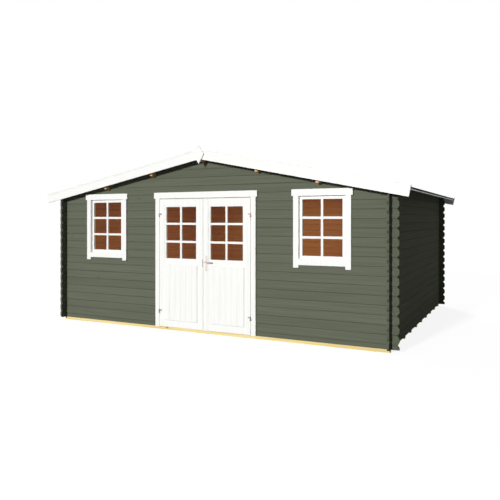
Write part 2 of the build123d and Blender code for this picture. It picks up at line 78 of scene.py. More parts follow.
class Side(Enum):
    """A side of the cabin as seen from the front. The value is the sign of its x."""

    LEFT = -1
    RIGHT = 1

    @property
    def word(self) -> str:
        """Return the side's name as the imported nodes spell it."""
        return self.name.lower()


class Facing(Enum):
    """Where an upright face looks. The value is the sign of its y."""

    FRONT = -1
    BACK = 1


class Chosen(Enum):
    """What an edit-mode operator acts on."""

    EDGES = "EDGE"
    FACES = "FACE"


class Change(Enum):
    """What a second solid does to a piece."""

    ADD = "UNION"
    CUT = "DIFFERENCE"


def linear(colour: str) -> Colour:
    """Turn an sRGB hex colour into linear light.

    Args:
        colour: six hex digits, with or without a leading hash.

    Returns:
        Red, green, blue and alpha, from 0 to 1.
    """
    digits = colour.lstrip("#")
    channels = [int(digits[i : i + 2], 16) / 255 for i in (0, 2, 4)]
    light = [c / 12.92 if c <= 0.04045 else ((c + 0.055) / 1.055) ** 2.4 for c in channels]
    return (*light, 1.0)


def feed(tree: Tree, node: Node, inputs: dict[str | int, Feed]) -> None:
    """Set and link a node's inputs.

    Args:
        tree: the node tree that the node is in.
        node: the node.
        inputs: input name or index to a value, to the output that feeds it, or to a node, of
            which the first output in use feeds it.
    """
    for key, value in inputs.items():
        if isinstance(value, Node):
            value = next(output for output in value.outputs if output.enabled)
        if isinstance(value, Socket):
            tree.links.new(value, node.inputs[key])
        else:
            node.inputs[key].default_value = value


def add_node(
    tree: Tree, kind: str, inputs: dict[str | int, Feed] | None = None, **settings: object
) -> Node:
    """Add a node with its settings, its input values and its links.

    Args:
        tree: the node tree that gets the node.
        kind: the node's Blender type, without ShaderNode in front.
        inputs: what feeds its inputs, as in feed.
        settings: attributes of the node.

    Returns:
        The new node.
    """
    node = tree.nodes.new(f"ShaderNode{kind}")
    for name, value in settings.items():
        setattr(node, name, value)
    feed(tree, node, inputs or {})
    return node


def pattern_scale(along: Along, width_mm: float, length_mm: float) -> list[float]:
    """Work out a Mapping node's scale from a stretched pattern's real size.

    Args:
        along: the axis along which the pattern is stretched.
        width_mm: its size across that axis.
        length_mm: its size along that axis.

    Returns:
        The scale on each axis that makes the pattern's size one unit.
    """
    scale = [1 / (width_mm * MM)] * 3
    scale[along.value] = 1 / (length_mm * MM)
    return scale


def uneven(
    tree: Tree,
    noise: dict[str, Feed],
    levels: tuple[float, float],
    strengths: tuple[float, float] = (0.0, 1.0),
) -> Node:
    """Draw a streaky or cloudy pattern.

    Args:
        tree: the material's node tree.
        noise: what feeds the noise that it is drawn from.
        levels: the noise levels between which the pattern changes smoothly.
        strengths: its strength below and above those levels.

    Returns:
        The pattern's strength.
    """
    drawn = add_node(tree, "TexNoise", noise)
    ends = ("From Min", "From Max", "To Min", "To Max")
    change = {"Value": drawn} | dict(zip(ends, levels + strengths))
    return add_node(tree, "MapRange", change, interpolation_type="SMOOTHSTEP")


@dataclass(frozen=True)
class Finish:
    """A surface finish. Each kind says what feeds its shader."""

    name: str
    roughness: float = 0.5
    specular: float = 0.5  # share of the usual dielectric reflection

    def material(self) -> bpy.types.Material:
        """Return this finish's material, made on first use."""
        made = bpy.data.materials.get(self.name)
        if made is None:
            made = bpy.data.materials.new(self.name)
            made.use_nodes = True
            tree = made.node_tree
            shader = tree.nodes["Principled BSDF"]
            feed(tree, shader, {"Roughness": self.roughness, "Specular IOR Level": self.specular})
            feed(tree, shader, self.look(tree))
        return made

    def look(self, tree: Tree) -> dict[str, Feed]:
        """Add this finish's own nodes.

        Args:
            tree: the material's node tree.

        Returns:
            What feeds the shader, by the name of its input.
        """
        raise NotImplementedError


@dataclass(frozen=True)
class Softwood:
    """Colours and real sizes of a planed softwood's figure, used bare or under paint."""

    light: str
    dark: str
    knot: str
    grain_width_mm: float = 14.0  # real growth rings are 2 to 4 mm, too fine to show
    grain_length_mm: float = 900.0
    grain_waver: float = 0.6
    grain_levels: tuple[float, float] = (0.35, 0.68)  # of the noise, for light and dark wood
    knot_spacing_mm: float = 420.0
    knot_radius_mm: float = 13.0
    knot_core: float = 0.35  # share of the radius over which a knot is wholly dark
    knot_free: float = 0.45  # share of the places for a knot that stay empty
    place_shape: float = 3.0  # such a place is this much longer than wide

    def figure(self, tree: Tree, point: Node, along: Along) -> tuple[Node, Node]:
        """Draw growth rings and knots.

        Args:
            tree: the material's node tree.
            point: the place on the board, shifted from board to board.
            along: the axis of the grain.

        Returns:
            The grain's strength, from 0 to 1, and the colour.
        """
        stretch = pattern_scale(along, self.grain_width_mm, self.grain_length_mm)
        rings = add_node(tree, "Mapping", {"Vector": point, "Scale": stretch})
        noise = {"Vector": rings, "Scale": 1.0, "Detail": 3.0, "Distortion": self.grain_waver}
        grain = uneven(tree, noise, self.grain_levels)
        place_width_mm = self.knot_spacing_mm / self.place_shape
        stretch = pattern_scale(along, place_width_mm, self.knot_spacing_mm)
        places = add_node(tree, "Mapping", {"Vector": point, "Scale": stretch})
        cells = {"Vector": places, "Scale": 1.0, "Randomness": 1.0}
        near = add_node(tree, "TexVoronoi", cells).outputs
        radius = self.knot_radius_mm / place_width_mm
        rim = {"Value": near["Distance"], "To Min": 1.0, "To Max": 0.0}
        rim |= {"From Min": radius * self.knot_core, "From Max": radius}
        spot = add_node(tree, "MapRange", rim, interpolation_type="SMOOTHSTEP")
        chance = add_node(tree, "SeparateColor", {"Color": near["Color"]})
        odds = {0: chance, 1: self.knot_free}
        kept = add_node(tree, "Math", odds, operation="GREATER_THAN")
        knots = add_node(tree, "Math", {0: spot, 1: kept}, operation="MULTIPLY")
        tones = {SHARE: grain, FIRST: linear(self.light), SECOND: linear(self.dark)}
        clear = add_node(tree, "Mix", tones, data_type="RGBA")
        tones = {SHARE: knots, FIRST: clear, SECOND: linear(self.knot)}
        return grain, add_node(tree, "Mix", tones, data_type="RGBA")


# Under paint the figure only shows as a faint change of tone
PAINTED_SPRUCE = Softwood(light="#696D5E", dark="#626657", knot="#565A4B", knot_spacing_mm=520.0)
INSIDE_SPRUCE = Softwood(light="#DDA362", dark="#CB8E4F", knot="#8A5630", grain_width_mm=12.0)
PALE_SPRUCE = Softwood(light="#F0DC9E", dark="#E2C682", knot="#A67A3C", grain_width_mm=16.0)
PURLIN_SPRUCE = Softwood(light="#F0BE80", dark="#DE9F5C", knot="#9A5F2C")
FLOOR_SPRUCE = Softwood(light="#DCA76E", dark="#C99058", knot="#85512B")


@dataclass(frozen=True)
class BareWood(Finish):
    """Planed spruce with nothing on it: soft sheen, growth rings and a few knots."""

    wood: Softwood = INSIDE_SPRUCE
    along: Along = Along.X
    roughness: float = 0.6
    specular: float = 0.25
    relief_mm: float = 0.25
    board_mm: float = 100.0  # width of one board, over which the tone changes
    board_axis: Along = Along.Z
    board_start: float = 0.0  # a board's edge, in metres
    tone_spread: float = 0.07  # how far tones differ from board to board
    figure_spread: float = 7.0  # how far the figure moves from board to board, in metres

    def boards(self, tree: Tree, point: Socket) -> tuple[Node, Node]:
        """Tell the boards apart.

        Args:
            tree: the material's node tree.
            point: the surface point.

        Returns:
            The point, moved by an amount of each board's own, and the board's tone, about 1.
        """
        axes = add_node(tree, "SeparateXYZ", {"Vector": point}).outputs
        from_start = {0: axes[self.board_axis.value], 1: self.board_start}
        reach = add_node(tree, "Math", from_start, operation="SUBTRACT")
        widths = {0: reach, 1: self.board_mm * MM}
        count = add_node(tree, "Math", widths, operation="DIVIDE")
        number = add_node(tree, "Math", {0: count}, operation="FLOOR")
        drawn = add_node(tree, "TexWhiteNoise", {"W": number}, noise_dimensions="1D")
        chance = drawn.outputs
        spread = {0: chance["Color"], "Scale": self.figure_spread}
        offset = add_node(tree, "VectorMath", spread, operation="SCALE")
        moved = add_node(tree, "VectorMath", {0: point, 1: offset}, operation="ADD")
        tones = {"To Min": 1 - self.tone_spread, "To Max": 1 + self.tone_spread}
        tones["Value"] = chance["Value"]
        tone = add_node(tree, "MapRange", tones, interpolation_type="SMOOTHSTEP")
        return moved, tone

    def look(self, tree: Tree) -> dict[str, Feed]:
        """Add the wood's figure, its change of tone and a fine relief.

        Args:
            tree: the material's node tree.

        Returns:
            What feeds the shader, by the name of its input.
        """
        point, tone = self.boards(tree, add_node(tree, "TexCoord").outputs["Object"])
        grain, colour = self.wood.figure(tree, point, self.along)
        tint = {0: colour, "Scale": tone}
        toned = add_node(tree, "VectorMath", tint, operation="SCALE")
        relief = {"Height": grain, "Distance": self.relief_mm * MM, "Strength": 1.0}
        return {"Base Color": toned, "Normal": add_node(tree, "Bump", relief)}


@dataclass(frozen=True)
class PaintedOutside(BareWood):
    """Opaque grey-green wood paint outside, where the grain still shows, and bare spruce inside."""

    paint: Softwood = PAINTED_SPRUCE
    board_mm: float = LOG_PITCH / MM
    tone_spread: float = 0.035
    roughness: float = 0.9
    specular: float = 0.01
    relief_mm: float = 0.3
    joint_shade: float = 0.28  # how much darker the joints are painted: painted shade of the V grooves, and dust
    joint_core_mm: float = 1.0  # from the middle of a joint, over which it is darkest
    joint_half_width_mm: float = 5.5
    speckle: str = "#575E4F"
    speckle_mm: float = 12.0  # real pores are far under 1 mm, too fine to show
    speckle_levels: tuple[float, float] = (0.4, 0.6)  # of the noise, for paint and speckle
    speckle_start: float = 1 * MM  # past the crossing wall's outer face

    def outside(self, tree: Tree, x: Socket, y: Socket) -> Node:
        """Tell the weather side of the walls' logs from the room side.

        Args:
            tree: the material's node tree.
            x: the surface point's place from left to right.
            y: its place from front to back.

        Returns:
            1 past the middle of the logs and 0 in the room.
        """
        beyond = []
        for place, reach in ((x, HALF_WIDTH), (y, HALF_DEPTH)):
            size = add_node(tree, "Math", {0: place}, operation="ABSOLUTE")
            from_middle = {0: size, 1: reach - LOG_THICKNESS / 2}
            beyond.append(add_node(tree, "Math", from_middle, operation="SUBTRACT"))
        most = add_node(tree, "Math", dict(enumerate(beyond)), operation="MAXIMUM")
        return add_node(tree, "Math", {0: most, 1: 0.0}, operation="GREATER_THAN")

    def log_ends(self, tree: Tree, here: Socket, colour: Node) -> Node:
        """Speckle the log ends past the corners, where cut grain takes the paint unevenly.

        Args:
            tree: the material's node tree.
            here: the surface point.
            colour: the paint's colour on the walls.

        Returns:
            The colour with the log ends in it.
        """
        crossing = HALF_WIDTH if self.along is Along.X else HALF_DEPTH
        axes = add_node(tree, "SeparateXYZ", {"Vector": here}).outputs
        place = {0: axes[self.along.value]}
        size = add_node(tree, "Math", place, operation="ABSOLUTE")
        end = {0: size, 1: crossing + self.speckle_start}
        past = add_node(tree, "Math", end, operation="GREATER_THAN")
        pores = {"Vector": here, "Scale": 1 / (self.speckle_mm * MM), "Detail": 1.0}
        spots = uneven(tree, pores, self.speckle_levels)
        share = add_node(tree, "Math", {0: spots, 1: past}, operation="MULTIPLY")
        tones = {SHARE: share, FIRST: colour, SECOND: linear(self.speckle)}
        return add_node(tree, "Mix", tones, data_type="RGBA")

    def look(self, tree: Tree) -> dict[str, Feed]:
        """Add paint and bare wood, told apart by where the middle of the logs lies.

        Args:
            tree: the material's node tree.

        Returns:
            What feeds the shader, by the name of its input.
        """
        here = add_node(tree, "TexCoord").outputs["Object"]
        point, tone = self.boards(tree, here)
        painted_grain, painted = self.paint.figure(tree, point, self.along)
        painted = self.log_ends(tree, here, painted)
        _, bare = self.wood.figure(tree, point, self.along)
        axes = add_node(tree, "SeparateXYZ", {"Vector": here}).outputs
        sides = {SHARE: self.outside(tree, axes["X"], axes["Y"]), FIRST: bare, SECOND: painted}
        colour = add_node(tree, "Mix", sides, data_type="RGBA")
        # Each joint is painted darker: painted shade of its V groove, and dust
        from_start = {0: axes[self.board_axis.value], 1: self.board_start}
        reach = add_node(tree, "Math", from_start, operation="SUBTRACT")
        boards = {0: reach, 1: self.board_mm * MM / 2}
        from_joint = add_node(tree, "Math", boards, operation="PINGPONG")
        groove_shade = {"Value": from_joint, "To Min": 1 - self.joint_shade}
        groove_shade |= {"From Min": self.joint_core_mm * MM, "From Max": self.joint_half_width_mm * MM}
        shade = add_node(tree, "MapRange", groove_shade, interpolation_type="SMOOTHSTEP")
        level = add_node(tree, "Math", {0: tone, 1: shade}, operation="MULTIPLY")
        tint = {0: colour, "Scale": level}
        toned = add_node(tree, "VectorMath", tint, operation="SCALE")
        relief = {"Height": painted_grain, "Distance": self.relief_mm * MM, "Strength": 1.0}
        return {"Base Color": toned, "Normal": add_node(tree, "Bump", relief)}


@dataclass(frozen=True)
class WhitePaint(Finish):
    """White satin joinery paint: brushed, so it has a very faint streak and a soft gloss."""

    colour: str = "#F8F8F5"
    streak: str = "#F2F2EE"
    roughness: float = 0.42
    specular: float = 0.3
    along: Along = Along.Z
    streak_width_mm: float = 9.0  # real brush marks are 1 mm, too fine to show
    streak_length_mm: float = 600.0
    streak_levels: tuple[float, float] = (0.4, 0.7)  # of the noise, for paint and streak
    relief_mm: float = 0.12

    def look(self, tree: Tree) -> dict[str, Feed]:
        """Add brush streaks in colour and relief.

        Args:
            tree: the material's node tree.

        Returns:
            What feeds the shader, by the name of its input.
        """
        here = add_node(tree, "TexCoord").outputs["Object"]
        stretch = pattern_scale(self.along, self.streak_width_mm, self.streak_length_mm)
        point = add_node(tree, "Mapping", {"Vector": here, "Scale": stretch})
        noise = {"Vector": point, "Scale": 1.0, "Detail": 2.0}
        streaks = uneven(tree, noise, self.streak_levels)
        tones = {SHARE: streaks, FIRST: linear(self.colour), SECOND: linear(self.streak)}
        colour = add_node(tree, "Mix", tones, data_type="RGBA")
        relief = {"Height": streaks, "Distance": self.relief_mm * MM, "Strength": 1.0}
        return {"Base Color": colour, "Normal": add_node(tree, "Bump", relief)}


@dataclass(frozen=True)
class MineralFelt(Finish):
    """Bitumen felt with slate chippings: nearly black, rough, with paler grains."""

    bitumen: str = "#1F2023"
    chipping: str = "#4A4C50"
    grain_mm: float = 6.0  # real chippings are 1 mm, too fine to show
    patch_mm: float = 454.5
    patch_levels: tuple[float, float] = (0.35, 0.7)  # of the noise, for worn and for new felt
    patch_wear: float = 0.55  # share of the chippings' paleness that worn felt keeps
    roughness: float = 0.95
    specular: float = 0.04
    relief_mm: float = 0.8

    def look(self, tree: Tree) -> dict[str, Feed]:
        """Add chippings of several tones, worn patches and a rough relief.

        Args:
            tree: the material's node tree.

        Returns:
            What feeds the shader, by the name of its input.
        """
        point = add_node(tree, "TexCoord").outputs["Object"]
        chippings = {"Vector": point, "Scale": 1 / (self.grain_mm * MM)}
        grains = add_node(tree, "TexVoronoi", chippings).outputs["Color"]
        tone = add_node(tree, "SeparateColor", {"Color": grains})
        patches = {"Vector": point, "Scale": 1 / (self.patch_mm * MM), "Detail": 4.0}
        worn = uneven(tree, patches, self.patch_levels, (self.patch_wear, 1.0))
        share = add_node(tree, "Math", {0: tone, 1: worn}, operation="MULTIPLY")
        tones = {SHARE: share, FIRST: linear(self.bitumen), SECOND: linear(self.chipping)}
        colour = add_node(tree, "Mix", tones, data_type="RGBA")
        relief = {"Height": tone, "Distance": self.relief_mm * MM, "Strength": 1.0}
        return {"Base Color": colour, "Normal": add_node(tree, "Bump", relief)}


@dataclass(frozen=True)
class FloatGlass(Finish):
    """Clear float glass: see-through, with a faint green tint and a sharp weak reflection."""

    tint: str = "#4E5F57"
    dust: str = "#7C8580"
    dust_mm: float = 333.3
    dust_levels: tuple[float, float] = (0.3, 0.8)  # of the noise, for clean and dusty glass
    dust_share: float = 0.25  # of the dust's colour, where it lies thickest
    cover: float = 0.05  # how much of the sheet's own colour shows
    roughness: float = 0.03

    def look(self, tree: Tree) -> dict[str, Feed]:
        """Add a tint that thickens slightly in patches, as dust does.

        Args:
            tree: the material's node tree.

        Returns:
            What feeds the shader, by the name of its input.
        """
        point = add_node(tree, "TexCoord").outputs["Object"]
        patches = {"Vector": point, "Scale": 1 / (self.dust_mm * MM), "Detail": 2.0}
        dust = uneven(tree, patches, self.dust_levels, (0.0, self.dust_share))
        tones = {SHARE: dust, FIRST: linear(self.tint), SECOND: linear(self.dust)}
        colour = add_node(tree, "Mix", tones, data_type="RGBA")
        return {"Base Color": colour, "Alpha": self.cover}


@dataclass(frozen=True)
class PlatedMetal(Finish):
    """Plated steel, brushed before plating: metal with fine streaks in its gloss."""

    colour: str = "#AFA29E"
    worn: str = "#9A8D89"
    roughness: float = 0.38
    gloss_spread: tuple[float, float] = (-0.08, 0.1)  # what the streaks add to the roughness
    streak_width_mm: float = 1.2  # real brush lines are under 0.1 mm, too fine to show
    streak_length_mm: float = 40.0
    streak_levels: tuple[float, float] = (0.3, 0.7)  # of the noise, for gloss and for haze
    along: Along = Along.Z

    def look(self, tree: Tree) -> dict[str, Feed]:
        """Add brushed streaks to the roughness and colour.

        Args:
            tree: the material's node tree.

        Returns:
            What feeds the shader, by the name of its input.
        """
        here = add_node(tree, "TexCoord").outputs["Object"]
        stretch = pattern_scale(self.along, self.streak_width_mm, self.streak_length_mm)
        point = add_node(tree, "Mapping", {"Vector": here, "Scale": stretch})
        noise = {"Vector": point, "Scale": 1.0, "Detail": 2.0}
        gloss, haze = self.gloss_spread
        ends = (self.roughness + gloss, self.roughness + haze)
        rough = uneven(tree, noise, self.streak_levels, ends)
        streaks = add_node(tree, "TexNoise", noise)
        tones = {SHARE: streaks, FIRST: linear(self.colour), SECOND: linear(self.worn)}
        colour = add_node(tree, "Mix", tones, data_type="RGBA")
        return {"Base Color": colour, "Roughness": rough, "Metallic": 1.0}


CROSS_JOINT = WALL_BASE + LOG_PITCH / 2  # the front and back walls start with half a log
SIDE_JOINT = WALL_BASE
# Beams, purlins, planks and boards change tone from one to the next, or nearly so
CROSS_LOGS = PaintedOutside("painted_cross_logs", along=Along.X, board_start=CROSS_JOINT)
SIDE_LOGS = PaintedOutside("painted_side_logs", along=Along.Y, board_start=SIDE_JOINT)
ROOF_WOOD = PaintedOutside(
    "planed_roof_spruce", board_axis=Along.Y, board_mm=95.44, board_start=-2.052
)
BEAM_WOOD = BareWood(
    "pale_foundation_spruce", wood=PALE_SPRUCE, board_axis=Along.Y, board_mm=425.0
)
PURLIN_WOOD = BareWood(
    "planed_purlin_spruce",
    wood=PURLIN_SPRUCE,
    along=Along.Y,
    board_axis=Along.X,
    board_mm=840.0,
    board_start=-0.42,
)
FLOOR_WOOD = BareWood(
    "planed_floor_spruce",
    wood=FLOOR_SPRUCE,
    along=Along.Y,
    board_axis=Along.X,
    board_mm=108.4,
    board_start=-2.532,
)
THRESHOLD_WOOD = BareWood("planed_threshold_spruce", wood=FLOOR_SPRUCE)
WHITE = WhitePaint("white_joinery_paint")
WHITE_ALONG_X = WhitePaint("white_joinery_paint_across", along=Along.X)
EAVE_PAINT = WhitePaint("white_eave_paint", along=Along.Y)
FELT = MineralFelt("mineral_roof_felt")
GLASS = FloatGlass("clear_float_glass")
NAIL_METAL = PlatedMetal("galvanised_nail_steel", colour="#9A9C9E", worn="#7F8183")
HINGE_METAL = PlatedMetal("zinc_plated_hinge_steel")
HANDLE_METAL = PlatedMetal("satin_nickel_plate", colour="#CAC1BD", worn="#BDB4B0")
LEVER_METAL = PlatedMetal("satin_nickel_lever", colour="#AFA4A2", worn="#A09593", along=Along.X)
# Dark blocks in the keyways: painted shade of a deep slot
KEYWAY_SHADE = PlatedMetal("keyway_painted_shade", colour="#3A3736", worn="#232120")


def dress(node: str, finish: Finish) -> None:
    """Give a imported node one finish.

    Args:
        node: the node's name.
        finish: what it is finished with.
    """
    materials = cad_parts[node].data.materials
    materials.clear()
    materials.append(finish.material())
    log.info("dressed %s in %s", node, finish.name)


def pick(piece: Piece) -> Piece:
    """Select one object alone and make it active.

    Args:
        piece: the object.

    Returns:
        The same object.
    """
    bpy.ops.object.select_all(action="DESELECT")
    piece.select_set(True)
    bpy.context.view_layer.objects.active = piece
    return piece


def settle(piece: Piece, name: str) -> Piece:
    """Name a new object and carry its place, turn and scale into its mesh.

    Args:
        piece: the new object.
        name: the name of the object and its mesh.

    Returns:
        The same object.
    """
    pick(piece).name = name
    piece.data.name = name
    bpy.ops.object.transform_apply(location=True, rotation=True, scale=True)
    return piece


def block(name: str, low: Iterable[float], high: Iterable[float]) -> Piece:
    """Add a block between two corners, to be shaped further.

    Args:
        name: the object's name.
        low: the lowest corner, in metres.
        high: the highest corner, in metres.

    Returns:
        The new object.
    """
    low, high = Vector(low), Vector(high)
    bpy.ops.object.select_all(action="DESELECT")
    bpy.ops.mesh.primitive_cube_add(size=1, location=(low + high) / 2, scale=high - low)
    return settle(bpy.context.object, name)


def disc(
    name: str, sides: int, radius: float, near: Iterable[float], far: Iterable[float]
) -> Piece:
    """Add a disc, upright or with its axis from front to back, to be shaped further.

    Args:
        name: the object's name.
        sides: its number of flats.
        radius: its radius, in metres.
        near: the middle of one face.
        far: the middle of the other face.

    Returns:
        The new object.
    """
    near, far = tuple(near), tuple(far)
    tip = 0.0 if near[1] == far[1] else math.pi / 2
    bpy.ops.object.select_all(action="DESELECT")
    bpy.ops.mesh.primitive_cylinder_add(
        vertices=sides,
        radius=radius,
        depth=math.dist(near, far),
        location=[(a + b) / 2 for a, b in zip(near, far)],
        rotation=(tip, 0, 0),
    )
    return settle(bpy.context.object, name)


def edit(
    piece: Piece,
    chosen: Callable[..., bool],
    kind: Chosen,
    operator: Callable[..., object],
    **options: object,
) -> None:
    """Run an edit-mode operator on the chosen edges or faces.

    Args:
        piece: the object.
        chosen: takes an edge's two end points, or a face's normal and centre, and says whether
            it is selected.
        kind: whether edges or faces are chosen.
        operator: the bpy.ops.mesh or bpy.ops.transform operator.
        options: the operator's own settings.
    """
    pick(piece)
    mesh = piece.data
    bpy.ops.object.mode_set(mode="EDIT")
    bpy.ops.mesh.select_mode(type=kind.value)
    bpy.ops.mesh.select_all(action="DESELECT")
    bpy.ops.object.mode_set(mode="OBJECT")
    if kind is Chosen.EDGES:
        for edge in mesh.edges:
            edge.select = chosen(*(mesh.vertices[i].co for i in edge.vertices))
    else:
        for face in mesh.polygons:
            face.select = chosen(face.normal, face.center)
    bpy.ops.object.mode_set(mode="EDIT")
    operator(**options)
    bpy.ops.object.mode_set(mode="OBJECT")


def edit_all(piece: Piece, operator: Callable[..., object], **options: object) -> None:
    """Run an edit-mode operator on a whole mesh."""
    edit(piece, lambda *_: True, Chosen.FACES, operator, **options)


def bevel(piece: Piece, chosen: Callable[..., bool], width: float, segments: int = 1) -> None:
    """Bevel the chosen edges."""
    options = {"offset": width, "segments": segments, "affect": "EDGES"}
    edit(piece, chosen, Chosen.EDGES, bpy.ops.mesh.bevel, **options)


def turn(piece: Piece, angle: float, axis: str) -> None:
    """Turn a mesh by the right-hand rule about an axis through the origin."""
    options = {"orient_axis": axis, "orient_type": "GLOBAL", "center_override": (0, 0, 0)}
    # Without a window the operator turns the other way
    edit_all(piece, bpy.ops.transform.rotate, value=-angle, **options)


def mirror_x(piece: Piece) -> None:
    """Mirror a mesh across the plane x = 0 and turn its faces out again."""
    edit_all(piece, bpy.ops.transform.resize, value=(-1, 1, 1), center_override=(0, 0, 0))
    edit_all(piece, bpy.ops.mesh.normals_make_consistent, inside=False)


def repeat(piece: Piece, count: int, step: Iterable[float]) -> Piece:
    """Repeat a mesh in a row.

    Args:
        piece: the object that holds the first copy.
        count: copies in all.
        step: from one copy to the next, in metres.

    Returns:
        The same object, with all the copies in its mesh.
    """
    pick(piece)
    row = piece.modifiers.new("row", "ARRAY")
    row.count = count
    row.use_relative_offset = False
    row.use_constant_offset = True
    row.constant_offset_displace = step
    bpy.ops.object.modifier_apply(modifier=row.name)
    return piece


def joined(name: str, pieces: list[Piece]) -> Piece:
    """Join objects into one.

    Args:
        name: the name of the object and its mesh.
        pieces: the objects.

    Returns:
        The first object, with all the meshes in its own.
    """
    pick(pieces[0])
    for piece in pieces[1:]:
        piece.select_set(True)
    bpy.ops.object.join()
    pieces[0].name = pieces[0].data.name = name
    return pieces[0]


def combine(piece: Piece, other: Piece, how: Change) -> Piece:
    """Join another solid to a piece, or cut it away, and use the other one up.

    Args:
        piece: the piece that is kept.
        other: the solid that is added or cut away.
        how: which of the two.

    Returns:
        The same piece.
    """
    pick(piece)
    change = piece.modifiers.new("change", "BOOLEAN")
    change.operation = how.value
    change.object = other
    change.solver = "EXACT"
    bpy.ops.object.modifier_apply(modifier=change.name)
    pick(other)
    bpy.ops.object.delete()
    return piece


def put(
    piece: Piece, body: str, finish: Finish, replaces: Iterable[str] = ()
) -> None:
    """Hand over a finished piece.

    Args:
        piece: the piece.
        body: the body that it rides on.
        finish: what it is finished with.
        replaces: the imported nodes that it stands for.
    """
    piece.data.materials.clear()
    piece.data.materials.append(finish.material())
    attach(piece, body)
    for node in replaces:
        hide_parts(node)
    log.info("built %s on %s: %d faces", piece.name, body, len(piece.data.polygons))


@dataclass
class Walls:
    """The log walls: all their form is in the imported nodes, so they are only painted."""

    cross_nodes: tuple[str, ...] = (
        "front_wall_left",
        "front_wall_right",
        "front_gable",
        "back_wall",
        "back_gable",
    )
    side_nodes: tuple[str, ...] = ("left_wall", "right_wall")

    def build(self) -> None:
        """Paint the walls."""
        for node in self.cross_nodes:
            dress(node, CROSS_LOGS)
        for node in self.side_nodes:
            dress(node, SIDE_LOGS)


@dataclass
class Base:
    """Foundation beams and the planks of the floor."""

    plank_width: float = 108 * MM
    plank_bevel: float = 2.5 * MM
    notch_half_width: float = 804 * MM  # the floor is cut back here to clear the door frame
    notch_depth: float = 15 * MM

    def build(self) -> None:
        """Dress the beams and lay the planks."""
        dress("foundation_beams", BEAM_WOOD)
        low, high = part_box("floor_boards")
        rows = []
        for start, end, front in (
            (low.x, -self.notch_half_width, low.y),
            (-self.notch_half_width, self.notch_half_width, low.y + self.notch_depth),
            (self.notch_half_width, high.x, low.y),
        ):
            count = round((end - start) / self.plank_width)
            width = (end - start) / count
            plank = block("plank", (start, front, low.z), (start + width, high.y, high.z))
            bevel(
                plank,
                lambda a, b: min(a.z, b.z) > high.z - NEAR and abs(a.x - b.x) < NEAR,
                self.plank_bevel,
            )
            rows.append(repeat(plank, count, (width, 0, 0)))
        put(joined("floor_planks", rows), "cabin", FLOOR_WOOD, ["floor_boards"])


